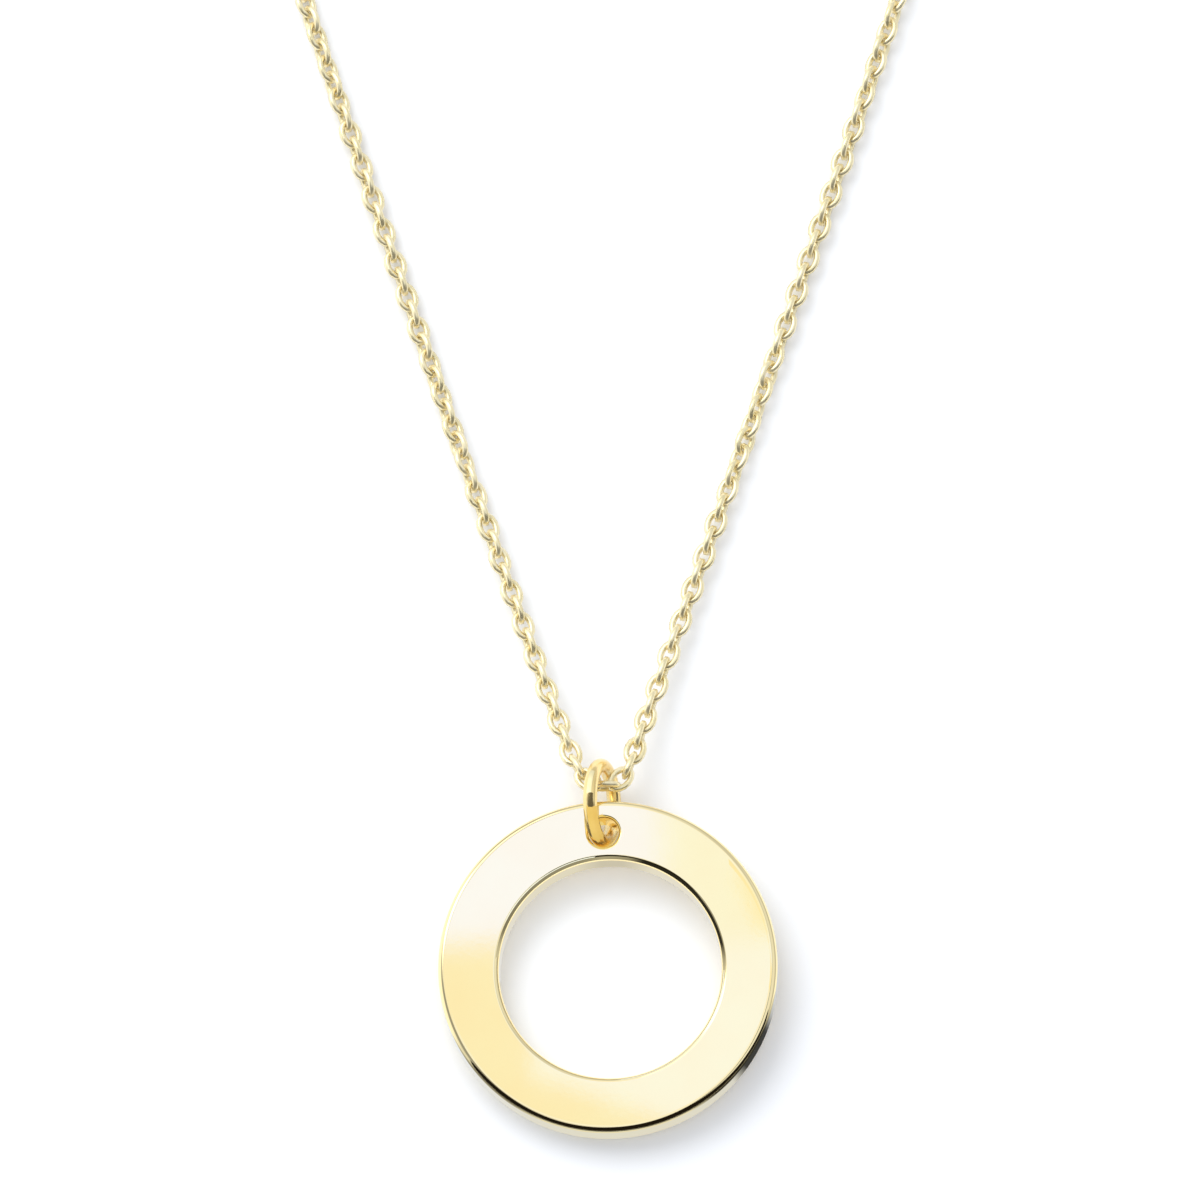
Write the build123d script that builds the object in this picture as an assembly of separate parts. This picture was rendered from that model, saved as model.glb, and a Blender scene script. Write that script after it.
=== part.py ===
"""A ring necklace lying flat: a thick round washer on a jump ring, on a closed fine chain with a barrel clasp.

Millimetres, +Z up, lying on the plane Z = 0. The washer points to -Y and the chain runs round to +Y.
The origin is under the middle of the whole necklace.
"""
from build123d import *
import math
import os

# Washer: a flat ring with rounded rims. Its bore sits a little off the middle.
washer_diameter = 18.0
washer_band = 3.1
washer_thickness = 2.0
washer_rim_radius = 0.3
bore_shift_x = 0.13
bore_shift_y = -0.13

# Jump ring: a round wire bent into a closed circle that takes in the washer's thickness with room to spare.
ring_wire = 0.75
ring_band_clearance = 0.65

# Drilled hole that the jump ring goes through, a little below the middle of the washer's upper band.
drill_clearance = 0.89
drill_rim_radius = 0.15
drill_drop = 0.12
drill_side = -0.22

# Lie of the pieces: the jump ring stands in its hole, leans over until the hole stops it and lifts the washer.
ring_lean_spare = 8.3
ring_turn = -3.0
ring_hole_gap = 0.16
ring_side_shift = -0.11
washer_lift_gap = 0.285
washer_roll = -2.5

# Chain: the outside of its links, and how it sits in the jump ring.
chain_width = 1.2
chain_ring_gap = 0.1
chain_drop_angle = 10.0

# Barrel clasp: a short round barrel with an eye at each end.
clasp_diameter = 2.0
clasp_length = 6.0
clasp_edge_radius = 0.5
clasp_eye_wire = 0.4
clasp_eye_opening = 1.0
clasp_eye_sink = 0.1
chain_end_gap = 0.06

# Route of the chain, seen from above and measured from where it crosses the jump ring: side, along, and the
# share of the crossing's height above the surface. Clasp to jump ring on the left, then back on the right.
chain_route = [
    (-24.4, 190.4, 0.0),
    (-35.6, 179.6, 0.0),
    (-42.2, 165.0, 0.0),
    (-44.0, 148.0, 0.0),
    (-41.6, 129.0, 0.0),
    (-35.9, 106.8, 0.0),
    (-28.2, 82.0, 0.0),
    (-17.5, 48.8, 0.0),
    (-9.3, 24.0, 0.0),
    (-4.8, 10.8, 0.12),
    (-2.35, 3.6, 0.52),
    (-1.1, 0.0, 1.0),
    (1.1, 0.0, 1.0),
    (2.08, 3.7, 0.5),
    (4.45, 10.6, 0.1),
    (8.95, 23.9, 0.0),
    (17.35, 49.2, 0.0),
    (27.9, 83.4, 0.0),
    (35.4, 107.6, 0.0),
    (41.0, 129.8, 0.0),
    (43.5, 149.0, 0.0),
    (41.6, 166.0, 0.0),
    (34.9, 180.4, 0.0),
    (23.9, 190.8, 0.0),
]
chain_top = 196.3
chain_end_run = 7.0

# Share of the shorter run that each bend of the chain may use up.
bend_share = 0.45

# Worked out from the sizes above.
washer_radius = washer_diameter / 2
bore_radius = washer_radius - washer_band
ring_wire_radius = ring_wire / 2
ring_inner_radius = washer_thickness / 2 + ring_band_clearance
ring_mean_radius = ring_inner_radius + ring_wire_radius
drill_radius = (ring_wire + drill_clearance) / 2
drill_y = (washer_radius + bore_radius + bore_shift_y) / 2 - drill_drop
ring_lean = math.degrees(math.atan(drill_clearance / washer_thickness)) - washer_roll - ring_lean_spare
washer_tilt = math.degrees(math.asin((ring_wire + washer_lift_gap) / washer_diameter))
chain_radius = chain_width / 2
clasp_radius = clasp_diameter / 2
clasp_eye_mean_radius = (clasp_eye_opening + clasp_eye_wire) / 2


def washer_turn():
    """Turn of the washer as it lies: its top end lifted, and a slight roll to its left side."""
    return Rot(washer_tilt, 0, 0) * Rot(0, washer_roll, 0)


def washer_place():
    """The washer's turn, raised until its lowest rim just meets the surface."""
    turn = washer_turn()
    normal = (turn * Pos(0, 0, 1)).position
    slope = math.hypot(normal.X, normal.Y)
    height = (
        (washer_radius - washer_rim_radius) * slope
        + (washer_thickness / 2 - washer_rim_radius) * normal.Z
        + washer_rim_radius
    )
    return Pos(0, 0, height) * turn


def ring_place():
    """The jump ring's place: standing on the surface, turned a little, leaning left, its wire in the
    washer's drilled hole."""
    hole = (washer_place() * Pos(drill_side, drill_y, 0)).position
    wire_travel = drill_radius - ring_wire_radius - ring_hole_gap
    height = ring_mean_radius * math.cos(math.radians(ring_lean)) + ring_wire_radius
    centre = (hole.X + ring_side_shift, hole.Y + ring_mean_radius - wire_travel, height)
    return Pos(*centre) * Rot(0, 0, ring_turn) * Rot(0, -ring_lean, 0)


def chain_crossing():
    """The middle of the chain where it crosses the jump ring, at the ring's far end from the washer."""
    reach = ring_inner_radius - chain_radius - chain_ring_gap
    drop = math.radians(chain_drop_angle)
    crossing = ring_place() * Pos(0, reach * math.cos(drop), -reach * math.sin(drop))
    return crossing.position


def make_washer():
    """A disc with an offset bore, both rims rounded, drilled near its upper rim for the jump ring."""
    disc = Cylinder(washer_radius, washer_thickness)
    bore = Pos(bore_shift_x, bore_shift_y) * Cylinder(bore_radius, 2 * washer_thickness)
    blank = disc - bore
    rims = blank.edges().filter_by(GeomType.CIRCLE)
    rounded = fillet(rims, washer_rim_radius)
    drill = Pos(drill_side, drill_y) * Cylinder(drill_radius, 2 * washer_thickness)
    drilled = rounded - drill
    drill_rims = [
        edge
        for edge in drilled.edges().filter_by(GeomType.CIRCLE)
        if abs(edge.radius - drill_radius) < drill_rim_radius and edge.is_closed
    ]
    return washer_place() * fillet(drill_rims, drill_rim_radius)


def make_jump_ring():
    """A closed round-wire ring, upright in its own plane before it leans."""
    return ring_place() * Rot(0, 90, 0) * Torus(ring_mean_radius, ring_wire_radius)


def clasp_centre():
    """The middle of the clasp's barrel, opposite the jump ring and resting on the surface."""
    crossing = chain_crossing()
    return Vector(crossing.X, crossing.Y + chain_top, clasp_radius)


def clasp_reach():
    """Distance from the clasp's middle to the outer end of each eye, whose near side is inside the barrel."""
    return clasp_length / 2 - clasp_eye_sink + clasp_eye_opening + clasp_eye_wire


def make_clasp():
    """A round barrel along X with softened ends and a wire eye set into each end."""
    barrel = Rot(0, 90, 0) * Cylinder(clasp_radius, clasp_length)
    barrel = fillet(barrel.edges().filter_by(GeomType.CIRCLE), clasp_edge_radius)
    eye_x = clasp_reach() - clasp_eye_mean_radius - clasp_eye_wire / 2
    for side in (-1, 1):
        eye = Rot(90, 0, 0) * Torus(clasp_eye_mean_radius, clasp_eye_wire / 2)
        barrel = barrel + Pos(side * eye_x, 0, 0) * eye
    centre = clasp_centre()
    return Pos(centre.X, centre.Y, centre.Z) * barrel


def chain_points():
    """The route's points in space, from the clasp's left eye round to its right eye."""
    crossing = chain_crossing()
    lift = crossing.Z - chain_radius
    listed = [
        Vector(crossing.X + side, crossing.Y + along, chain_radius + share * lift)
        for side, along, share in chain_route
    ]
    clasp = clasp_centre()
    end_x = clasp_reach() + chain_end_gap
    ends = [Vector(clasp.X + side * end_x, clasp.Y, clasp.Z) for side in (-1, 1)]
    lead = [
        Vector(clasp.X + side * (end_x + chain_end_run), clasp.Y, chain_radius)
        for side in (-1, 1)
    ]
    return [ends[0], lead[0]] + listed + [lead[1], ends[1]]


def bend_radii(points):
    """One radius for each bend: as large as its two straight runs leave room for."""
    radii = []
    for before, corner, after in zip(points, points[1:], points[2:]):
        turn = math.radians((corner - before).get_angle(after - corner))
        shorter = min((corner - before).length, (after - corner).length)
        radii.append(bend_share * shorter / math.tan(turn / 2))
    return radii


def make_chain():
    """The fine chain as a round tube of its outer width: straight runs joined by tangent arcs."""
    points = chain_points()
    radii = bend_radii(points)
    path = FilletPolyline(*points, radius=radii)
    start = Plane(origin=path @ 0, z_dir=path % 0)
    tube = sweep(start * Circle(chain_radius), path=path)
    runs = [(b - a).length for a, b in zip(points, points[1:])]
    section = math.pi * chain_radius ** 2
    print("chain runs", [round(run, 1) for run in runs])
    print("chain bend radii", [round(radius, 2) for radius in radii])
    print("chain length", round(path.length, 2), "with clasp", round(path.length + 2 * clasp_reach(), 2))
    print("chain volume over section times length", round(tube.volume / (section * path.length), 5))
    return tube


pieces = {
    "washer": make_washer(),
    "jump_ring": make_jump_ring(),
    "chain": make_chain(),
    "clasp": make_clasp(),
}

# Stand the necklace so that its origin is under the middle of its box.
box = Compound(children=[piece.solid() for piece in pieces.values()]).bounding_box()
middle = box.center()
os.makedirs("parts", exist_ok=True)
for name, piece in pieces.items():
    export_step(Pos(-middle.X, -middle.Y, -box.min.Z) * piece.solid(), "parts/" + name + ".step")
print("size", [round(value, 2) for value in (box.size.X, box.size.Y, box.size.Z)], "lowest", round(box.min.Z, 4))
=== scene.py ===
"""The looks of a ring necklace: a polished round washer on a jump ring, on a closed fine cable chain.

It lies on a white table, with the washer towards -Y and the clasp towards +Y, as in the CAD frame.
Sizes are in millimetres up to add_mesh, which turns them into metres.
"""
import math

import bmesh
import bpy
import numpy as np
from mathutils import Matrix, Vector


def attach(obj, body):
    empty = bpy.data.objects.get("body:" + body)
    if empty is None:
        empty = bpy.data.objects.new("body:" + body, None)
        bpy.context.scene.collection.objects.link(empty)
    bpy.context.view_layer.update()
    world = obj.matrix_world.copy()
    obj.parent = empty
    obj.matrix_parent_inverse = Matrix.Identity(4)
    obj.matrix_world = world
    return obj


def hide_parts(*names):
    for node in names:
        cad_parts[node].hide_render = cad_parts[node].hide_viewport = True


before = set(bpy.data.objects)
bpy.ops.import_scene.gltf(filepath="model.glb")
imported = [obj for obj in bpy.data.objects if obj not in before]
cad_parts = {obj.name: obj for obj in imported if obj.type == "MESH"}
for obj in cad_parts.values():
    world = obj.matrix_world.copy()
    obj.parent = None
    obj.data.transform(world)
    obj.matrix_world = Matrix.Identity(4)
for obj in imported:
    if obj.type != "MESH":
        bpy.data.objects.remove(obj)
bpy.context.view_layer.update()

MM = 0.001

# Washer: a flat ring with rounded rims, a bore a little off its middle and a small drilled hole.
WASHER_CENTRE = (0.48923, -99.09964, 1.6257)
WASHER_TURN = (3.29632, -2.5)
WASHER_RADIUS = 9.0
WASHER_HALF_THICKNESS = 1.0
RIM_RADIUS = 0.3
BORE_RADIUS = 5.9
BORE_SHIFT = (0.13, -0.13)
DRILL_CENTRE = (-0.22, 7.265)
DRILL_RADIUS = 0.82
DRILL_RIM_RADIUS = 0.15

# How finely the washer is divided: columns round it, shares across its flat faces and down its wall, and
# steps round its rims. The drilled hole's patch has its own shares, and takes up some columns to each side.
WASHER_COLUMNS = 288
FACE_SHARES = [0, 0.006, 0.06, 0.2, 0.35, 0.5, 0.65, 0.8, 0.94, 0.994, 1.0]
WALL_SHARES = [0.012, 0.25, 0.5, 0.75, 0.988]
RIM_STEPS = 13
PATCH_SHARES = [0, 0.02, 0.15, 0.4, 0.7, 1.0]
PATCH_HALF_COLUMNS = 9
DRILL_WALL_HEIGHTS = [0.78, 0.0, -0.78]
DRILL_RIM_STEPS = 7

# Jump ring: a round wire bent into a closed circle, leaning to the left.
RING_CENTRE = (0.15944, -90.10611, 2.29881)
RING_LEAN = 18.18906
RING_TURN = -3.0
RING_MEAN_RADIUS = 2.025
RING_WIRE_RADIUS = 0.375

# Clasp: a round barrel with an eye at each end.
CLASP_CENTRE = (0.25982, 107.12548, 1.0)
CLASP_RADIUS = 1.0
CLASP_HALF_LENGTH = 3.0
CLASP_EDGE_RADIUS = 0.5
CLASP_EYE_MEAN_RADIUS = 0.7
CLASP_EYE_WIRE_RADIUS = 0.2
CLASP_EYE_X = 3.4
CLASP_COLUMNS = 64

# Chain: oval links, and the twist that the chain takes on along its length.
CROSSING = (0.25982, -89.17452, 2.14209)
LINK_PITCH = 0.985
LINK_LENGTH = 1.79
LINK_WIDTH = 1.24
LINK_WIRE = 0.35
LINK_SIDES = 14
LINK_WIRE_SIDES = 6

# Route of the chain, seen from above and measured from where it crosses the jump ring: side, along, height.
CHAIN_ROUTE = [
    (-4.36, 196.3, 1.0),
    (-11.36, 196.3, 0.6),
    (-24.4, 190.4, 0.6),
    (-35.6, 179.6, 0.6),
    (-42.2, 165.0, 0.6),
    (-44.0, 148.0, 0.6),
    (-41.6, 129.0, 0.6),
    (-35.9, 106.8, 0.6),
    (-28.2, 82.0, 0.6),
    (-17.5, 48.8, 0.6),
    (-9.3, 24.0, 0.6),
    (-4.8, 10.8, 0.785),
    (-2.35, 3.6, 1.402),
    (-1.05, 0.0, 2.45),
    (1.05, 0.0, 2.45),
    (2.08, 3.7, 1.371),
    (4.45, 10.6, 0.754),
    (8.95, 23.9, 0.6),
    (17.35, 49.2, 0.6),
    (27.9, 83.4, 0.6),
    (35.4, 107.6, 0.6),
    (41.0, 129.8, 0.6),
    (43.5, 149.0, 0.6),
    (41.6, 166.0, 0.6),
    (34.9, 180.4, 0.6),
    (23.9, 190.8, 0.6),
    (11.36, 196.3, 0.6),
    (4.36, 196.3, 1.0),
]

# Twist of the chain along each arm: distance from the crossing in mm, and turn in degrees.
TWIST_DISTANCE = [0.0, 2.0, 6.0, 18.0, 21.0, 26.0, 29.0, 40.0, 43.0, 60.0, 226.0]
TWIST_TURN = [90.0, 90.0, 78.0, 76.0, 54.0, 54.0, 78.0, 76.0, 54.0, 66.0, 0.0]

# The right arm's further twist, by which its last link too lies flat in the clasp's eye.
RIGHT_DISTANCE = [60.0, 226.0]
RIGHT_TURN = [0.0, 90.0]

# Play of the links: a small turn drawn at random, in degrees, which sets in over these distances from the
# crossing.
PLAY_SEED = 7
PLAY_TURN = 4.0
PLAY_DISTANCE = [4.0, 9.0]

# How near two points are, in metres, when they count as one, and how small a distance in millimetres counts
# as none.
SAME_PLACE = 1e-7
SLIGHT = 1e-6

# The gold's relief: how much finer it is than the clouds of tone, and its depth.
RELIEF_FINENESS = 12
RELIEF_DEPTH = 0.01

# The table, a hair under the plane that the necklace rests on, and the two lamps.
TABLE_REACH = 4000.0
TABLE_DROP = 0.02
KEY_DIRECTION = (-0.62, 0.66, 1.0)
FILL_PLACE = (0.3, -98.0, 9.0)
FILL_SIZE = 6.0

# The highest level, and the highest elevation in degrees, that a table by compass angle may hold.
FULL_LEVEL = 2
FULL_ELEVATION = 100

# The studio dome, a glowing shell that only the metal sees and that is no lamp: painted reflections of white
# walls, a dark opening and a bright window. It starts beside its top, by a hair of an angle in radians.
DOME_RADIUS = 20000.0
DOME_COLUMNS = 64
DOME_ROWS = 24
DOME_TOP = 0.0005

# The studio's dark opening, a painted dark reflection: compass angle from +X in degrees, and the elevation
# where it starts or ends.
DARK_FROM = [
    (0.0, 100), (197.0, 100), (202.0, 30), (206.0, 2), (226.0, 2), (238.0, 4), (296.0, 4), (312.0, 3),
    (350.0, 3), (358.0, 60), (360.0, 100),
]
DARK_TO = [
    (0.0, 82), (200.0, 74), (226.0, 74), (240.0, 82), (304.0, 82), (318.0, 72), (330.0, 58), (350.0, 42),
]

# How bright the studio's lower and upper walls, painted reflections, are at each compass angle.
LOW_WALL = [
    (0.0, 0.6), (30.0, 0.6), (50.0, 0.75), (62.0, 0.6), (90.0, 0.6), (128.0, 0.5), (140.0, 1.1),
    (168.0, 1.2), (190.0, 1.1), (198.0, 0.8), (300.0, 0.7), (340.0, 0.6), (360.0, 0.6),
]
HIGH_WALL = [
    (0.0, 0.9), (44.0, 0.8), (52.0, 0.65), (64.0, 0.65), (72.0, 0.75), (84.0, 0.8), (94.0, 1.0),
    (110.0, 1.0), (116.0, 0.55), (134.0, 0.55), (141.0, 1.1), (154.0, 1.1), (161.0, 0.34), (198.0, 0.34),
    (206.0, 0.8), (300.0, 0.9), (360.0, 0.9),
]

# Where each part of the dome begins and where it is whole: the opening's soft edge, the small dark disc
# overhead, a painted dark reflection, and the upper wall in degrees, and the window by the cosine of the
# angle from its middle.
OPENING_EDGE = (-2, 2)
OVERHEAD = (80.5, 83)
UPPER_WALL = (25, 42)
WINDOW = (0.94, 0.97)
WINDOW_DIRECTION = (-0.62, 0.56, 1.0)

# The colours of the dome's painted reflections: the walls, the window's painted highlight and the opening's
# painted dark.
LOW_WALL_COLOUR = (0.96, 1.0, 1.06)
HIGH_WALL_COLOUR = (0.98, 1.04, 1.15)
WINDOW_HIGHLIGHT_COLOUR = (3.0, 3.0, 3.0)
DARK_OPENING_REFLECTION = (0.012, 0.01, 0.008)

# The round card over the washer that its flat face reflects, a glowing card that paints the face's
# reflection:
# its size, and the way to it from the face.
FACE_CARD_HOLE = 0.01
FACE_CARD_RADIUS = 12.0
FACE_CARD_COLUMNS = 64
FACE_CARD_DISTANCE = 80.0
FACE_CARD_DIRECTION = (-0.0844, 0.1617, 0.9833)

# Its fades, each from where it begins to where it is whole, in metres from its middle: the upper half by Y,
# the low right side by X and by a slanting line, the upper right side by X, and the warm strip by distance.
UPPER_HALF = (0.0001, 0.0027)
LOW_RIGHT = (-0.0055, -0.0035)
LOW_SLANT = (-0.0250, -0.0190)
SLANT_SLOPE = 2.7
HIGH_RIGHT = (0.0016, 0.0046)
WARM_STRIP = (0.0084, 0.0093)

# The warm strip's strength by compass angle, and the colours that the fades run between, which are the
# colours of the face's painted reflection.
WARM_SIDE = [(0, 0), (8, 0), (14, 1), (30, 1), (38, 0), (360, 0)]
LOW_LEFT_COLOUR = (0.99, 1.01, 0.99)
LOW_RIGHT_COLOUR = (0.99, 1.13, 1.58)
HIGH_LEFT_COLOUR = (0.985, 1.14, 1.9)
HIGH_RIGHT_COLOUR = (0.985, 1.1, 1.36)
WARM_REFLECTION_COLOUR = (1.0, 1.03, 1.0)

# The round cards near the washer and the jump ring, painted reflections that only the metal sees: the points
# along each, the painted reflection of the table's light and the height of the cards that lie on it, the
# radius, foot and painted gold of the cards that stand on the face's edge, and the middle of the dark card
# beside the ring, a painted dark reflection.
CARD_POINTS = 181
PAINTED_TABLE_REFLECTION = (1.0, 1.07, 1.2)
ON_TABLE = 0.03
FACE_EDGE = 8.62
CARD_FOOT = (FACE_EDGE, 0.03)
SIDE_REFLECTION_GOLD = (1.0, 0.99, 0.86)
DARK_REFLECTION_CENTRE = (-0.47, -90.106, 2.181)

# The levels of the round cards: compass angle in degrees, and how bright the card's painted reflection is
# there.
BESIDE_LEVEL = [
    (0.0, 0.65), (30.0, 0.6), (60.0, 0.7), (80.0, 0.7), (100.0, 0.9), (115.0, 0.6), (145.0, 0.6),
    (150.0, 1.0), (178.0, 0.95), (200.0, 0.85), (240.0, 0.75), (300.0, 0.75), (319.0, 0.7), (326.0, 0.05),
    (341.0, 0.05), (347.0, 0.5), (352.0, 0.65), (360.0, 0.65),
]
FURTHER_LEVEL = [
    (200.0, 0.9), (206.0, 0.5), (212.0, 0.3), (232.0, 0.3), (240.0, 0.6), (246.0, 0.8), (300.0, 0.8),
    (307.0, 0.4), (312.0, 0.04), (342.0, 0.04), (348.0, 0.5), (355.0, 0.8),
]
FAR_LEVEL = [
    (202.0, 0.9), (208.0, 0.4), (214.0, 0.05), (240.0, 0.03), (300.0, 0.03), (342.0, 0.03), (348.0, 0.4),
    (355.0, 0.8),
]
BORE_LEVEL = [
    (0.0, 0.6), (6.0, 0.4), (14.0, 0.03), (74.0, 0.02), (81.0, 0.3), (94.0, 0.4), (104.0, 0.3),
    (158.0, 0.22), (166.0, 0.5), (172.0, 0.6),
]
INSIDE_LEVEL = [(0.0, 0.8), (70.0, 0.78), (84.0, 0.6), (94.0, 0.6), (106.0, 0.74), (180.0, 0.8)]
CREAM_HIGHLIGHT_LEVEL = [(145.0, 0.7), (160.0, 0.9), (182.0, 1.0)]
GOLD_FLAG_LEVEL = [(199.0, 1.0), (230.0, 1.0), (262.0, 0.9)]
GOLD_FENCE_LEVEL = [(200.5, 1.0), (230.0, 1.0), (262.0, 0.9)]

# The camera, straight in front of the washer and high over it, and the point that it looks at.
CAMERA_PLACE = (0.043, -292.327, 681.713)
CAMERA_TARGET = (0.043, -78.038, 0.0)
CAMERA_LENS = 400
CAMERA_SENSOR = 36


def add_mesh(name, points, faces, material, slot=None):
    """One smooth piece from points in millimetres and faces, riding the frame when it has a slot."""
    mesh = bpy.data.meshes.new(name)
    mesh.from_pydata((points * MM).tolist(), [], faces.tolist())
    piece = bpy.data.objects.new(name, mesh)
    bpy.context.scene.collection.objects.link(piece)
    mesh.materials.append(material)
    mesh.polygons.foreach_set("use_smooth", np.ones(len(mesh.polygons), dtype=bool))
    mesh.update()
    if slot:
        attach(piece, "root")
    return piece


def grid_faces(rows, columns, close_rows=False, close_columns=False):
    """Quads of a grid of points stored row by row; a closed direction joins its last line to its first."""
    row = np.arange(rows if close_rows else rows - 1)
    column = np.arange(columns if close_columns else columns - 1)
    r, c = np.meshgrid(row, column, indexing="ij")
    r2 = (r + 1) % rows
    c2 = (c + 1) % columns
    corners = [r * columns + c, r * columns + c2, r2 * columns + c2, r2 * columns + c]
    return np.stack(corners, -1).reshape(-1, 4)


def placed(points, matrix):
    """Points turned and moved by a 4 x 4 matrix."""
    turn = np.array(matrix.to_3x3())
    return points @ turn.T + np.array(matrix.translation)


def washer_matrix():
    """The washer's place: its top end lifted, a slight roll, and its centre."""
    tilt, roll = (math.radians(angle) for angle in WASHER_TURN)
    turn = Matrix.Rotation(tilt, 4, "X") @ Matrix.Rotation(roll, 4, "Y")
    return Matrix.Translation(WASHER_CENTRE) @ turn


def ring_matrix():
    """The jump ring's place: stood up from its own Z to face X, leaned to the left and turned a little."""
    lean = Matrix.Rotation(math.radians(90 - RING_LEAN), 4, "Y")
    turn = Matrix.Rotation(math.radians(RING_TURN), 4, "Z")
    return Matrix.Translation(RING_CENTRE) @ turn @ lean


def torus(mean_radius, wire_radius, around, across):
    """A torus about Z: a circle of the wire radius carried round the mean circle."""
    u = np.linspace(0, 2 * np.pi, around, endpoint=False)[:, None]
    v = np.linspace(0, 2 * np.pi, across, endpoint=False)[None, :]
    reach = mean_radius + wire_radius * np.cos(v)
    x = reach * np.cos(u)
    y = reach * np.sin(u)
    z = wire_radius * np.sin(v) + 0 * u
    outwards = grid_faces(around, across, True, True)[:, ::-1]
    return np.stack([x, y, z], -1).reshape(-1, 3), outwards


def rounding(steps):
    """A rim's quarter turn: how far it has gone out, the sine, and dropped, one less the cosine."""
    angle = np.linspace(0, np.pi / 2, steps)
    return np.sin(angle), 1 - np.cos(angle)


def washer_surface():
    """The washer about its own Z.

    Each column has one angle round the ring. The outer rim and wall are measured from the washer's middle,
    the inner ones from the bore's middle, and the flat faces run straight from one to the other. Round the
    drilled hole each face is a patch, whose points run straight from the hole's circle to its border.
    """
    columns = WASHER_COLUMNS
    across = np.array(FACE_SHARES)
    angle = 2 * np.pi * np.arange(columns) / columns
    direction = np.stack([np.cos(angle), np.sin(angle)], -1)
    bore_middle = np.array(BORE_SHIFT)
    flat_outer = (WASHER_RADIUS - RIM_RADIUS) * direction
    flat_inner = bore_middle + (BORE_RADIUS + RIM_RADIUS) * direction
    out, drop = rounding(RIM_STEPS)
    wall = np.array(WALL_SHARES)
    straight = 2 * (WASHER_HALF_THICKNESS - RIM_RADIUS)

    # The edge's profile: how far it stands out from the flat face's border, and its height.
    stand = np.concatenate([RIM_RADIUS * out, np.full(len(wall), RIM_RADIUS), RIM_RADIUS * out[::-1]])
    top = WASHER_HALF_THICKNESS - RIM_RADIUS * drop
    middle = WASHER_HALF_THICKNESS - RIM_RADIUS - straight * wall
    height = np.concatenate([top, middle, -top[::-1]])

    def edge(border, sign):
        """The edge's profile carried round a border, outwards for the rim and inwards for the bore."""
        flat = border[None, :, :] + sign * stand[:, None, None] * direction[None, :, :]
        level = np.broadcast_to(height[:, None, None], flat.shape[:2] + (1,))
        return np.concatenate([flat, level], -1).reshape(-1, 3)

    edge_faces = grid_faces(len(stand), columns, False, True)
    parts = [(edge(flat_outer, 1), edge_faces[:, ::-1]), (edge(flat_inner, -1), edge_faces)]

    # The flat faces, without the cells that the drilled hole's patch takes up.
    flat = flat_inner[None] + across[:, None, None] * (flat_outer - flat_inner)[None]
    middle_column = round(math.atan2(DRILL_CENTRE[1], DRILL_CENTRE[0]) / (2 * np.pi) * columns)
    first, last = middle_column - PATCH_HALF_COLUMNS, middle_column + PATCH_HALF_COLUMNS
    cells = grid_faces(len(across), columns, False, True)
    cell_column = np.tile(np.arange(columns), len(across) - 1)
    kept = cells[(cell_column < first) | (cell_column >= last)]

    # The patch: from the hole's circle to the border of the cells left out, taken once round.
    low = flat[0, first:last]
    right = flat[:-1, last]
    high = flat[-1, last:first:-1]
    left = flat[:0:-1, first]
    border = np.concatenate([low, right, high, left])
    hole_middle = np.array(DRILL_CENTRE)
    ray = border - hole_middle
    ray /= np.linalg.norm(ray, axis=1)[:, None]
    step = np.array(PATCH_SHARES)[:, None, None]
    hole_edge = hole_middle + (DRILL_RADIUS + DRILL_RIM_RADIUS) * ray
    patch = hole_edge[None] * (1 - step) + border[None] * step
    patch_faces = grid_faces(patch.shape[0], len(border), False, True)

    for level, sign in ((WASHER_HALF_THICKNESS, 1), (-WASHER_HALF_THICKNESS, -1)):
        for plan, faces in ((flat, kept), (patch, patch_faces)):
            plan = plan.reshape(-1, 2)
            points = np.column_stack([plan, np.full(len(plan), level)])
            parts.append((points, faces if sign < 0 else faces[:, ::-1]))

    # The hole's rounded rims and wall.
    out, drop = rounding(DRILL_RIM_STEPS)
    wide = DRILL_RIM_RADIUS * (1 - out)
    reach = np.concatenate([wide, np.zeros(len(DRILL_WALL_HEIGHTS)), wide[::-1]]) + DRILL_RADIUS
    top = WASHER_HALF_THICKNESS - DRILL_RIM_RADIUS * drop
    height = np.concatenate([top, DRILL_WALL_HEIGHTS, -top[::-1]])
    plan = hole_middle + reach[:, None, None] * ray[None]
    level = np.broadcast_to(height[:, None, None], plan.shape[:2] + (1,))
    points = np.concatenate([plan, level], -1).reshape(-1, 3)
    parts.append((points, grid_faces(len(reach), len(border), False, True)))
    return used_only(*joined(parts))


def joined(parts):
    """Several lists of points and faces as one."""
    points = np.concatenate([p for p, _ in parts])
    starts = np.cumsum([0] + [len(p) for p, _ in parts[:-1]])
    faces = np.concatenate([f + start for (_, f), start in zip(parts, starts)])
    return points, faces


def used_only(points, faces):
    """The points that some face uses, and the faces numbered by them."""
    used, numbers = np.unique(faces, return_inverse=True)
    return points[used], numbers.reshape(faces.shape)


def merge_doubles(piece):
    """Joins points that lie in one place, so that the surface has no open seam."""
    work = bmesh.new()
    work.from_mesh(piece.data)
    bmesh.ops.remove_doubles(work, verts=work.verts, dist=SAME_PLACE)
    bmesh.ops.recalc_face_normals(work, faces=work.faces)
    work.to_mesh(piece.data)
    work.free()


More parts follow.
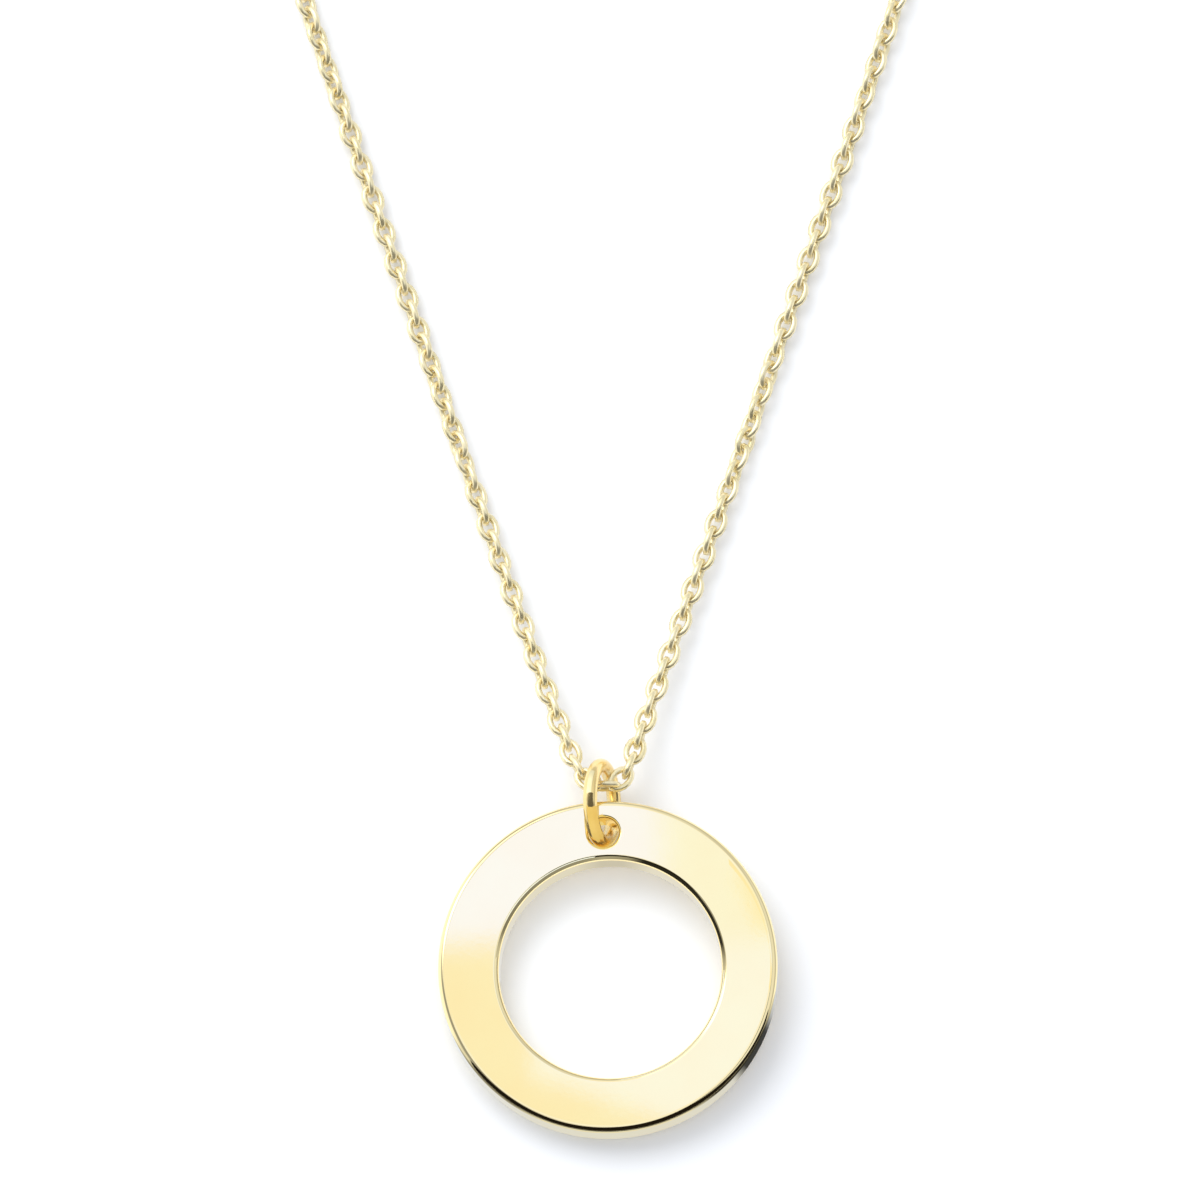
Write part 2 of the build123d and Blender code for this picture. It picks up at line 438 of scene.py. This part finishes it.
def washer_normals(points):
    """Outward directions at points on the washer about its own Z.

    A rim's direction leans out from the axis by how far the point is past the flat face's border, against
    how far it is above the wall's end. A flat face has the axis itself and a wall its own radius.
    """
    plan, height = points[:, :2], points[:, 2]
    from_bore = plan - np.array(BORE_SHIFT)
    from_hole = plan - np.array(DRILL_CENTRE)
    rim = np.linalg.norm(plan, axis=1)
    bore = np.linalg.norm(from_bore, axis=1)
    hole = np.linalg.norm(from_hole, axis=1)
    past_rim = np.maximum(rim - (WASHER_RADIUS - RIM_RADIUS), 0)
    past_bore = np.maximum(BORE_RADIUS + RIM_RADIUS - bore, 0)
    past_hole = np.maximum(DRILL_RADIUS + DRILL_RIM_RADIUS - hole, 0)
    radial = plan / rim[:, None] * past_rim[:, None] - from_bore / bore[:, None] * past_bore[:, None]
    radial -= from_hole / hole[:, None] * past_hole[:, None]
    rounding_radius = np.where(past_hole > SLIGHT, DRILL_RIM_RADIUS, RIM_RADIUS)
    above = np.maximum(np.abs(height) - (WASHER_HALF_THICKNESS - rounding_radius), 0) * np.sign(height)
    normals = np.column_stack([radial, above])
    return normals / np.linalg.norm(normals, axis=1)[:, None]


def chain_line():
    """The chain's line, read from a smooth curve whose control points are the route's points."""
    route = np.array(CHAIN_ROUTE)
    control = np.column_stack([route[:, :2] + np.array(CROSSING[:2]), route[:, 2]]) * MM
    curve = bpy.data.curves.new("chain_line", "CURVE")
    curve.dimensions = "3D"
    curve.resolution_u = 32
    spline = curve.splines.new("NURBS")
    spline.points.add(len(control) - 1)
    for point, place in zip(spline.points, control):
        point.co = (*place, 1.0)
    spline.order_u = 3
    spline.use_endpoint_u = True
    holder = bpy.data.objects.new("chain_line", curve)
    bpy.context.scene.collection.objects.link(holder)
    bpy.context.view_layer.update()
    mesh = bpy.data.meshes.new_from_object(holder)
    line = np.zeros(len(mesh.vertices) * 3)
    mesh.vertices.foreach_get("co", line)
    bpy.data.objects.remove(holder)
    bpy.data.curves.remove(curve)
    bpy.data.meshes.remove(mesh)
    return line.reshape(-1, 3) / MM


def link_template():
    """One oval link: a round wire carried round an oval, longer along its own X than along its own Y."""
    a = 2 * np.pi * np.arange(LINK_SIDES) / LINK_SIDES
    half_length = (LINK_LENGTH - LINK_WIRE) / 2
    half_width = (LINK_WIDTH - LINK_WIRE) / 2
    middle = np.stack([half_length * np.cos(a), half_width * np.sin(a), 0 * a], -1)
    outward = np.stack([half_width * np.cos(a), half_length * np.sin(a), 0 * a], -1)
    outward /= np.linalg.norm(outward, axis=1)[:, None]
    b = 2 * np.pi * (np.arange(LINK_WIRE_SIDES) + 0.5) / LINK_WIRE_SIDES
    radius = LINK_WIRE / 2
    lift = np.array([0, 0, 1.0])
    ring = radius * (np.cos(b)[None, :, None] * outward[:, None, :] + np.sin(b)[None, :, None] * lift)
    points = middle[:, None, :] + ring
    outwards = grid_faces(LINK_SIDES, LINK_WIRE_SIDES, True, True)[:, ::-1]
    return points.reshape(-1, 3), outwards


def chain_links(line):
    """Every link of the chain: one oval each pitch along the line, each a quarter turn on from the last."""
    runs = np.linalg.norm(np.diff(line, axis=0), axis=1)
    along = np.concatenate([[0], np.cumsum(runs)])
    crossing = np.array(CROSSING)
    near = np.argmin(np.linalg.norm(line - crossing, axis=1))
    to_crossing = along[near]
    before = round(to_crossing / LINK_PITCH)
    after = round((along[-1] - to_crossing) / LINK_PITCH)
    places = np.concatenate([
        to_crossing * np.arange(before) / before,
        to_crossing + (along[-1] - to_crossing) * np.arange(after + 1) / after,
    ])
    half = LINK_PITCH / 2

    def at(distance):
        return np.stack([np.interp(distance, along, line[:, k]) for k in range(3)], -1)

    start = at(np.clip(places - half, 0, along[-1]))
    end = at(np.clip(places + half, 0, along[-1]))
    forward = end - start
    forward /= np.linalg.norm(forward, axis=1)[:, None]
    centre = at(places)
    side = np.cross(np.array([0, 0, 1.0]), forward)
    side /= np.linalg.norm(side, axis=1)[:, None]
    up = np.cross(forward, side)
    number = np.arange(len(places)) - before
    from_crossing = np.abs(places - to_crossing)
    twist = np.interp(from_crossing, TWIST_DISTANCE, TWIST_TURN)
    further = np.interp(places - to_crossing, RIGHT_DISTANCE, RIGHT_TURN)
    play = np.random.default_rng(PLAY_SEED).normal(0, PLAY_TURN, len(places))
    play *= np.interp(from_crossing, PLAY_DISTANCE, [0.0, 1.0])
    roll = np.radians(twist + further + 90 * number + play)
    width_axis = np.cos(roll)[:, None] * side + np.sin(roll)[:, None] * up
    through_axis = np.cross(forward, width_axis)
    template, faces = link_template()
    points = (
        centre[:, None, :]
        + template[None, :, 0:1] * forward[:, None, :]
        + template[None, :, 1:2] * width_axis[:, None, :]
        + template[None, :, 2:3] * through_axis[:, None, :]
    )
    offsets = np.arange(len(places))[:, None, None] * len(template)
    all_faces = (faces[None] + offsets).reshape(-1, 4)
    print("chain line", round(along[-1], 2), "mm, links", len(places), "pitch", to_crossing / before)
    return points.reshape(-1, 3), all_faces


def clasp_surface():
    """The barrel, its profile turned about X, and an eye at each end."""
    out, drop = rounding(steps=9)
    edge_x = CLASP_HALF_LENGTH - CLASP_EDGE_RADIUS * drop
    edge_r = CLASP_RADIUS - CLASP_EDGE_RADIUS * (1 - out)
    x = np.concatenate([[CLASP_HALF_LENGTH], edge_x, [0.0], -edge_x[::-1], [-CLASP_HALF_LENGTH]])
    r = np.concatenate([[0.0], edge_r, [CLASP_RADIUS], edge_r[::-1], [0.0]])
    u = 2 * np.pi * np.arange(CLASP_COLUMNS) / CLASP_COLUMNS
    y = r[:, None] * np.cos(u)
    z = r[:, None] * np.sin(u)
    barrel = np.stack([np.broadcast_to(x[:, None], y.shape), y, z], -1).reshape(-1, 3)
    parts = [(barrel, grid_faces(len(x), CLASP_COLUMNS, False, True))]
    for sign in (-1, 1):
        eye, faces = torus(CLASP_EYE_MEAN_RADIUS, CLASP_EYE_WIRE_RADIUS, around=48, across=16)
        eye = eye[:, [0, 2, 1]] * np.array([1, -1, 1])
        parts.append((eye + np.array([sign * CLASP_EYE_X, 0, 0]), faces))
    points, faces = joined(parts)
    return points + np.array(CLASP_CENTRE), faces


def new_material(name):
    """An empty node material, with its node tree and output."""
    material = bpy.data.materials.new(name)
    material.use_nodes = True
    tree = material.node_tree
    tree.nodes.clear()
    output = tree.nodes.new("ShaderNodeOutputMaterial")
    return material, tree, output


def gold(name, light, deep, roughness, grain, bump, polish):
    """Gold plate: two near tones in soft clouds, a roughness that varies a little, and a faint grain.

    The grain is the scale of its clouds, and its relief is much finer. Polish is the share that mirrors;
    the rest is a satin of fine wear.
    """
    material, tree, output = new_material(name)
    make = tree.nodes.new
    link = tree.links.new
    shader = make("ShaderNodeBsdfPrincipled")
    shader.inputs["Metallic"].default_value = polish
    place = make("ShaderNodeTexCoord")
    clouds = make("ShaderNodeTexNoise")
    clouds.inputs["Scale"].default_value = grain
    clouds.inputs["Detail"].default_value = 3.0
    link(place.outputs["Object"], clouds.inputs["Vector"])
    tone = make("ShaderNodeValToRGB")
    tone.color_ramp.elements[0].position = 0.35
    tone.color_ramp.elements[0].color = (*deep, 1)
    tone.color_ramp.elements[1].position = 0.65
    tone.color_ramp.elements[1].color = (*light, 1)
    link(clouds.outputs["Fac"], tone.inputs["Fac"])
    link(tone.outputs["Color"], shader.inputs["Base Color"])
    haze = make("ShaderNodeMapRange")
    haze.inputs["From Min"].default_value = 0.3
    haze.inputs["From Max"].default_value = 0.7
    haze.inputs["To Min"].default_value = roughness[0]
    haze.inputs["To Max"].default_value = roughness[1]
    link(clouds.outputs["Fac"], haze.inputs["Value"])
    link(haze.outputs["Result"], shader.inputs["Roughness"])
    fine = make("ShaderNodeTexNoise")
    fine.inputs["Scale"].default_value = grain * RELIEF_FINENESS
    fine.inputs["Detail"].default_value = 2.0
    link(place.outputs["Object"], fine.inputs["Vector"])
    relief = make("ShaderNodeBump")
    relief.inputs["Strength"].default_value = bump
    relief.inputs["Distance"].default_value = RELIEF_DEPTH * MM
    link(fine.outputs["Fac"], relief.inputs["Height"])
    link(relief.outputs["Normal"], shader.inputs["Normal"])
    link(shader.outputs["BSDF"], output.inputs["Surface"])
    return material


washer_gold = gold(
    "washer_gold", light=(1.0, 0.84, 0.46), deep=(1.0, 0.82, 0.44), roughness=(0.03, 0.06),
    grain=300, bump=0.05, polish=1.0,
)
ring_gold = gold(
    "jump_ring_gold", light=(1.0, 0.77, 0.36), deep=(0.96, 0.72, 0.3), roughness=(0.17, 0.23),
    grain=900, bump=0.1, polish=0.9,
)
chain_gold = gold(
    "chain_gold", light=(1.0, 0.88, 0.57), deep=(0.93, 0.8, 0.46), roughness=(0.24, 0.34),
    grain=1200, bump=0.1, polish=0.76,
)
clasp_gold = gold(
    "clasp_gold", light=(1.0, 0.83, 0.46), deep=(0.98, 0.8, 0.43), roughness=(0.05, 0.1),
    grain=600, bump=0.1, polish=0.95,
)

# The washer is merged about its own Z, and then put in its place with the normals that its form gives.
points, faces = washer_surface()
washer = add_mesh("polished_washer", points, faces, washer_gold, "washer_gold")
merge_doubles(washer)
local = np.zeros(len(washer.data.vertices) * 3)
washer.data.vertices.foreach_get("co", local)
local = local.reshape(-1, 3) / MM
normals = washer_normals(local) @ np.array(washer_matrix().to_3x3()).T
washer.data.vertices.foreach_set("co", (placed(local, washer_matrix()) * MM).ravel())
washer.data.normals_split_custom_set_from_vertices(normals.tolist())
washer.data.update()
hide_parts("washer")

points, faces = torus(RING_MEAN_RADIUS, RING_WIRE_RADIUS, around=160, across=40)
ring = add_mesh("round_jump_ring", placed(points, ring_matrix()), faces, ring_gold, "jump_ring_gold")
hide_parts("jump_ring")

points, faces = chain_links(chain_line())
chain = add_mesh("cable_chain", points, faces, chain_gold, "chain_gold")
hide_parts("chain")

points, faces = clasp_surface()
clasp = add_mesh("barrel_clasp", points, faces, clasp_gold, "clasp_gold")
merge_doubles(clasp)
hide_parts("clasp")


# The white table, a hair under the plane that the necklace rests on.
table_paint, tree, output = new_material("white_table")
surface = tree.nodes.new("ShaderNodeBsdfDiffuse")
surface.inputs["Color"].default_value = (0.9, 0.9, 0.9, 1)
tree.links.new(surface.outputs["BSDF"], output.inputs["Surface"])
corners = TABLE_REACH * np.array([[-1, -1, 0], [1, -1, 0], [1, 1, 0], [-1, 1, 0]])
corners[:, 2] = -TABLE_DROP
floor = add_mesh("table_top", corners, np.array([[0, 1, 2, 3]]), table_paint)

# The light on the table: a pale room and one soft key light from the upper left.
world = bpy.data.worlds.new("white_room")
bpy.context.scene.world = world
world.use_nodes = True
background = world.node_tree.nodes["Background"]
background.inputs["Color"].default_value = (0.91, 0.94, 1.0, 1)
background.inputs["Strength"].default_value = 1.07

sun = bpy.data.lights.new("soft_key", "SUN")
sun.energy = 1.4
sun.angle = math.radians(50)
sun.color = (0.96, 0.98, 1.0)
key = bpy.data.objects.new("soft_key", sun)
bpy.context.scene.collection.objects.link(key)
key.rotation_mode = "QUATERNION"
key.rotation_quaternion = Vector(KEY_DIRECTION).normalized().to_track_quat("Z", "Y")

# A small soft lamp over the bore, which lightens the shadow that the washer's lifted end throws into it.
fill_lamp = bpy.data.lights.new("bore_fill", "AREA")
fill_lamp.shape = "DISK"
fill_lamp.size = FILL_SIZE * MM
fill_lamp.energy = 0.00016
fill_lamp.color = (0.95, 0.98, 1.0)
fill = bpy.data.objects.new("bore_fill", fill_lamp)
bpy.context.scene.collection.objects.link(fill)
fill.location = Vector(FILL_PLACE) * MM
fill.visible_camera = False
fill.visible_glossy = False


def only_in_reflections(piece):
    """A studio card that the polished metal sees: it neither lights the table nor blocks the camera."""
    piece.visible_camera = False
    piece.visible_diffuse = False
    piece.visible_transmission = False
    piece.visible_volume_scatter = False
    piece.visible_shadow = False


def math_node(tree, operation, first, second=None):
    """A Math node fed by sockets or numbers, and its output."""
    node = tree.nodes.new("ShaderNodeMath")
    node.operation = operation
    for socket, value in zip(node.inputs, (first, second)):
        if value is None:
            continue
        if isinstance(value, (int, float)):
            socket.default_value = value
        else:
            tree.links.new(value, socket)
    return node.outputs[0]


def smooth_step(tree, value, start, end):
    """0 before start and 1 after end, with a soft change between."""
    node = tree.nodes.new("ShaderNodeMapRange")
    node.interpolation_type = "SMOOTHSTEP"
    node.inputs["From Min"].default_value = start
    node.inputs["From Max"].default_value = end
    tree.links.new(value, node.inputs["Value"])
    return node.outputs["Result"]


def mixed(tree, share, first, second):
    """A colour mix of two colours or sockets by a share."""
    node = tree.nodes.new("ShaderNodeMix")
    node.data_type = "RGBA"
    node.clamp_result = False
    tree.links.new(share, node.inputs["Factor"])
    for name, value in (("A", first), ("B", second)):
        socket = [s for s in node.inputs if s.name == name and s.type == "RGBA"][0]
        if isinstance(value, tuple):
            socket.default_value = (*value, 1)
        else:
            tree.links.new(value, socket)
    return [s for s in node.outputs if s.type == "RGBA"][0]


def directions(tree):
    """A point's direction from its object's origin, as a unit vector, a compass angle and an elevation.

    The compass angle is a share of a turn from +X, and the elevation is in degrees.
    """
    place = tree.nodes.new("ShaderNodeTexCoord")
    unit = tree.nodes.new("ShaderNodeVectorMath")
    unit.operation = "NORMALIZE"
    tree.links.new(place.outputs["Object"], unit.inputs[0])
    split = tree.nodes.new("ShaderNodeSeparateXYZ")
    tree.links.new(unit.outputs["Vector"], split.inputs["Vector"])
    azimuth = math_node(tree, "ARCTAN2", split.outputs["Y"], split.outputs["X"])
    elevation = math_node(tree, "ARCSINE", split.outputs["Z"])
    turns = math_node(tree, "FRACT", math_node(tree, "DIVIDE", azimuth, 2 * math.pi))
    return unit.outputs["Vector"], turns, math_node(tree, "MULTIPLY", elevation, 180 / math.pi)


def by_compass(tree, turn_share, table, full):
    """A value that runs straight between a table's rows of compass angle and level, none over full."""
    ramp = tree.nodes.new("ShaderNodeValToRGB")
    elements = ramp.color_ramp.elements
    for number, (angle, level) in enumerate(table):
        element = elements[number] if number < 2 else elements.new(angle / 360)
        element.position = angle / 360
        element.color = (level / full,) * 3 + (1,)
    tree.links.new(turn_share, ramp.inputs["Fac"])
    return math_node(tree, "MULTIPLY", ramp.outputs["Color"], full)


def scaled(tree, colour, level):
    """A colour times a level."""
    node = tree.nodes.new("ShaderNodeVectorMath")
    node.operation = "SCALE"
    node.inputs[0].default_value = colour
    tree.links.new(level, node.inputs["Scale"])
    return node.outputs["Vector"]


def glowing(material, output, colour):
    """Sends a colour to a material's output as light that isn't sampled as a lamp."""
    tree = material.node_tree
    glow = tree.nodes.new("ShaderNodeEmission")
    glow.inputs["Strength"].default_value = 1.0
    tree.links.new(colour, glow.inputs["Color"])
    tree.links.new(glow.outputs["Emission"], output.inputs["Surface"])
    material.cycles.emission_sampling = "NONE"


def painted_dome_reflections():
    """Painted reflections for the metal: white walls, a dark opening in front, a small one overhead and a
    bright window at the upper left.
    """
    material, tree, output = new_material("painted_reflection_dome")
    direction, turn_share, elevation = directions(tree)
    dark_from = by_compass(tree, turn_share, DARK_FROM, FULL_ELEVATION)
    dark_to = by_compass(tree, turn_share, DARK_TO, FULL_ELEVATION)
    low_level = by_compass(tree, turn_share, LOW_WALL, FULL_LEVEL)
    high_level = by_compass(tree, turn_share, HIGH_WALL, FULL_LEVEL)
    above = smooth_step(tree, math_node(tree, "SUBTRACT", elevation, dark_from), *OPENING_EDGE)
    below = smooth_step(tree, math_node(tree, "SUBTRACT", dark_to, elevation), *OPENING_EDGE)
    overhead = smooth_step(tree, elevation, *OVERHEAD)
    dark = math_node(tree, "MAXIMUM", math_node(tree, "MULTIPLY", above, below), overhead)
    towards_window = tree.nodes.new("ShaderNodeVectorMath")
    towards_window.operation = "DOT_PRODUCT"
    towards_window.inputs[1].default_value = Vector(WINDOW_DIRECTION).normalized()
    tree.links.new(direction, towards_window.inputs[0])
    window = smooth_step(tree, towards_window.outputs["Value"], *WINDOW)
    high = smooth_step(tree, elevation, *UPPER_WALL)
    low_wall = scaled(tree, LOW_WALL_COLOUR, low_level)
    high_wall = scaled(tree, HIGH_WALL_COLOUR, high_level)
    room = mixed(tree, high, low_wall, high_wall)
    room = mixed(tree, window, room, scaled(tree, WINDOW_HIGHLIGHT_COLOUR, high_level))
    glowing(material, output, mixed(tree, dark, room, DARK_OPENING_REFLECTION))
    return material


# The dome, a half sphere over the table: (sin v cos u, sin v sin u, cos v), v running down from its top.
u = np.linspace(0, 2 * np.pi, DOME_COLUMNS, endpoint=False)[None, :]
v = np.linspace(DOME_TOP, np.pi / 2, DOME_ROWS)[:, None]
shell = np.stack([np.sin(v) * np.cos(u), np.sin(v) * np.sin(u), np.cos(v) + 0 * u], -1).reshape(-1, 3)
dome_faces = grid_faces(DOME_ROWS, DOME_COLUMNS, False, True)
dome = add_mesh("painted_reflection_dome", shell * DOME_RADIUS, dome_faces, painted_dome_reflections())
only_in_reflections(dome)


def painted_face_reflection():
    """A painted reflection for the flat face: deep gold comes from its low left, white from its upper left
    and cream from its right side.
    """
    material, tree, output = new_material("face_card")
    place = tree.nodes.new("ShaderNodeTexCoord")
    split = tree.nodes.new("ShaderNodeSeparateXYZ")
    tree.links.new(place.outputs["Object"], split.inputs["Vector"])
    card_x, card_y = split.outputs["X"], split.outputs["Y"]
    upper = smooth_step(tree, card_y, *UPPER_HALF)
    slant = math_node(tree, "ADD", card_x, math_node(tree, "MULTIPLY", card_y, SLANT_SLOPE))
    past_x = smooth_step(tree, card_x, *LOW_RIGHT)
    past_slant = smooth_step(tree, slant, *LOW_SLANT)
    low_right = math_node(tree, "MINIMUM", past_x, past_slant)
    high_right = smooth_step(tree, card_x, *HIGH_RIGHT)
    low_row = mixed(tree, low_right, LOW_LEFT_COLOUR, LOW_RIGHT_COLOUR)
    high_row = mixed(tree, high_right, HIGH_LEFT_COLOUR, HIGH_RIGHT_COLOUR)
    colour = mixed(tree, upper, low_row, high_row)
    from_middle = tree.nodes.new("ShaderNodeVectorMath")
    from_middle.operation = "LENGTH"
    tree.links.new(place.outputs["Object"], from_middle.inputs[0])
    by_edge = smooth_step(tree, from_middle.outputs["Value"], *WARM_STRIP)
    by_side = by_compass(tree, directions(tree)[1], WARM_SIDE, 1)
    warm = math_node(tree, "MULTIPLY", by_edge, by_side)
    glowing(material, output, mixed(tree, warm, colour, WARM_REFLECTION_COLOUR))
    return material


u = np.linspace(0, 2 * np.pi, FACE_CARD_COLUMNS, endpoint=False)[None, :]
v = np.array([FACE_CARD_HOLE, FACE_CARD_RADIUS])[:, None]
disc = np.stack([v * np.cos(u), v * np.sin(u), 0 * v + 0 * u], -1).reshape(-1, 3)
card_faces = grid_faces(2, FACE_CARD_COLUMNS, False, True)
card = add_mesh("face_card", disc, card_faces, painted_face_reflection())
card_centre = np.array(WASHER_CENTRE) + np.array([0, 0, WASHER_HALF_THICKNESS])
card_centre = card_centre + FACE_CARD_DISTANCE * np.array(FACE_CARD_DIRECTION)
card.matrix_world = Matrix.Translation(Vector(card_centre) * MM)
only_in_reflections(card)


def round_card(name, colour, levels, near, far, place):
    """A strip turned about its own Z, between a near and a far edge of one radius and height each.

    Its points are (radius cos a, radius sin a, height) over the compass angles a of its levels.
    """
    material, tree, output = new_material(name)
    level = by_compass(tree, directions(tree)[1], levels, FULL_LEVEL)
    glowing(material, output, scaled(tree, colour, level))
    a = np.radians(np.linspace(levels[0][0], levels[-1][0], CARD_POINTS))
    edges = [(radius * np.cos(a), radius * np.sin(a), height + 0 * a) for radius, height in (near, far)]
    strip = np.stack(edges).transpose(0, 2, 1).reshape(-1, 3)
    strip_card = add_mesh(name, strip, grid_faces(2, len(a)), material)
    turn = place.to_3x3().to_4x4()
    strip_card.matrix_world = Matrix.Translation(Vector(place.translation) * MM) @ turn
    only_in_reflections(strip_card)


def even(start, end):
    """A card's levels when it is fully bright from one compass angle to another."""
    return [(start, 1.0), (end, 1.0)]


# What the washer's wall and the lower half of its rim reflect: painted reflections of the table beside it,
# further out and far off, on glowing cards that only the metal sees. All three are painted dark where the
# rim's dark line is widest.
foot = Matrix.Translation((WASHER_CENTRE[0], WASHER_CENTRE[1], 0.0))
round_card(
    "beside_card", colour=PAINTED_TABLE_REFLECTION, levels=BESIDE_LEVEL,
    near=(8.7, ON_TABLE), far=(9.9, ON_TABLE), place=foot,
)
round_card(
    "further_card", colour=PAINTED_TABLE_REFLECTION, levels=FURTHER_LEVEL,
    near=(9.9, ON_TABLE), far=(60.0, ON_TABLE), place=foot,
)
round_card(
    "far_card", colour=PAINTED_TABLE_REFLECTION, levels=FAR_LEVEL,
    near=(17.0, 2 * ON_TABLE), far=(400.0, 2 * ON_TABLE), place=foot,
)

# What the bore's rim reflects: a card that stands low in the bore, a painted reflection that is darkest at
# its upper right.
bore_middle = washer_matrix() @ Matrix.Translation((*BORE_SHIFT, WASHER_HALF_THICKNESS))
round_card(
    "bore_card", colour=(1.0, 1.05, 1.1), levels=BORE_LEVEL,
    near=(5.45, -0.25), far=(5.45, 1.0), place=bore_middle,
)

# What the bore's upper left rim reflects beside its dark line: a cream card over the bore, a painted cream
# reflection.
round_card(
    "cream_card", colour=(1.0, 1.2, 1.75), levels=even(98.0, 150.0),
    near=(5.2, 1.0), far=(4.9, 4.6), place=bore_middle,
)

# What the flat face reflects when it is seen from behind: painted reflections on bright cards that stand on
# its edge, in front and at the right, where they are lower and more golden.
face_middle = washer_matrix() @ Matrix.Translation((0, 0, WASHER_HALF_THICKNESS))
round_card(
    "front_card", colour=(0.99, 1.05, 1.2), levels=even(195.0, 352.0),
    near=CARD_FOOT, far=(FACE_EDGE, 4.5), place=face_middle,
)
round_card(
    "side_card", colour=SIDE_REFLECTION_GOLD, levels=even(352.0, 372.0),
    near=CARD_FOOT, far=(FACE_EDGE, 2.5), place=face_middle,
)
round_card(
    "corner_card", colour=SIDE_REFLECTION_GOLD, levels=even(372.0, 402.0),
    near=CARD_FOOT, far=(FACE_EDGE, 1.5), place=face_middle,
)

# What the bore's wall reflects: a painted reflection of the table just inside it, on a glowing card.
inside = Matrix.Translation((bore_middle.translation.x, bore_middle.translation.y, ON_TABLE))
round_card(
    "inside_card", colour=(1.0, 1.04, 1.12), levels=INSIDE_LEVEL,
    near=(4.4, 0.0), far=(6.3, 0.0), place=inside,
)

# What the top and front of the jump ring reflect: narrow cards that follow its wire, painted reflections for
# a cream highlight on its top, a dark reflection and a deep gold front, and a gold card along its right
# side.
ring_place = ring_matrix()
upright = Matrix.Translation(DARK_REFLECTION_CENTRE) @ Matrix.Rotation(math.radians(90), 4, "Y")
round_card(
    "cream_highlight_flag", colour=(1.05, 1.3, 1.9), levels=CREAM_HIGHLIGHT_LEVEL,
    near=(2.56, -0.3), far=(2.56, 0.3), place=ring_place,
)
# An upright dark card: the painted dark reflection on the ring's front.
round_card(
    "dark_reflection_flag", colour=(0.02, 0.015, 0.01), levels=even(181.0, 200.0),
    near=(2.48, -0.19), far=(2.48, 0.24), place=upright,
)
round_card(
    "gold_flag", colour=(0.86, 0.76, 0.4), levels=GOLD_FLAG_LEVEL,
    near=(2.57, -0.3), far=(2.57, 0.5), place=ring_place,
)
round_card(
    "gold_fence", colour=(0.84, 0.72, 0.36), levels=GOLD_FENCE_LEVEL,
    near=(1.75, 0.5), far=(2.57, 0.5), place=ring_place,
)

# What the wall of the drilled hole reflects: a painted gold reflection that stands for the gold of the
# ring's underside, as a card on the table.
hole_middle = washer_matrix() @ Vector((*DRILL_CENTRE, 0.0))
under_hole = Matrix.Translation((hole_middle.x, hole_middle.y, ON_TABLE))
round_card(
    "hole_card", colour=(0.85, 0.72, 0.34), levels=even(0.0, 360.0),
    near=(0.02, 0.0), far=(1.4, 0.0), place=under_hole,
)

# The camera and its view.
camera_place = Vector(CAMERA_PLACE) * MM
back = (camera_place - Vector(CAMERA_TARGET) * MM).normalized()
right = Vector((0, 1, 0)).cross(back).normalized()
upward = back.cross(right)
camera_data = bpy.data.cameras.new("camera")
camera_data.lens = CAMERA_LENS
camera_data.sensor_width = CAMERA_SENSOR
camera_data.clip_start = 0.05
camera = bpy.data.objects.new("camera", camera_data)
bpy.context.scene.collection.objects.link(camera)
turn = Matrix((right, upward, back)).transposed().to_4x4()
camera.matrix_world = Matrix.Translation(camera_place) @ turn
bpy.context.scene.camera = camera
bpy.context.scene.view_settings.view_transform = "Standard"
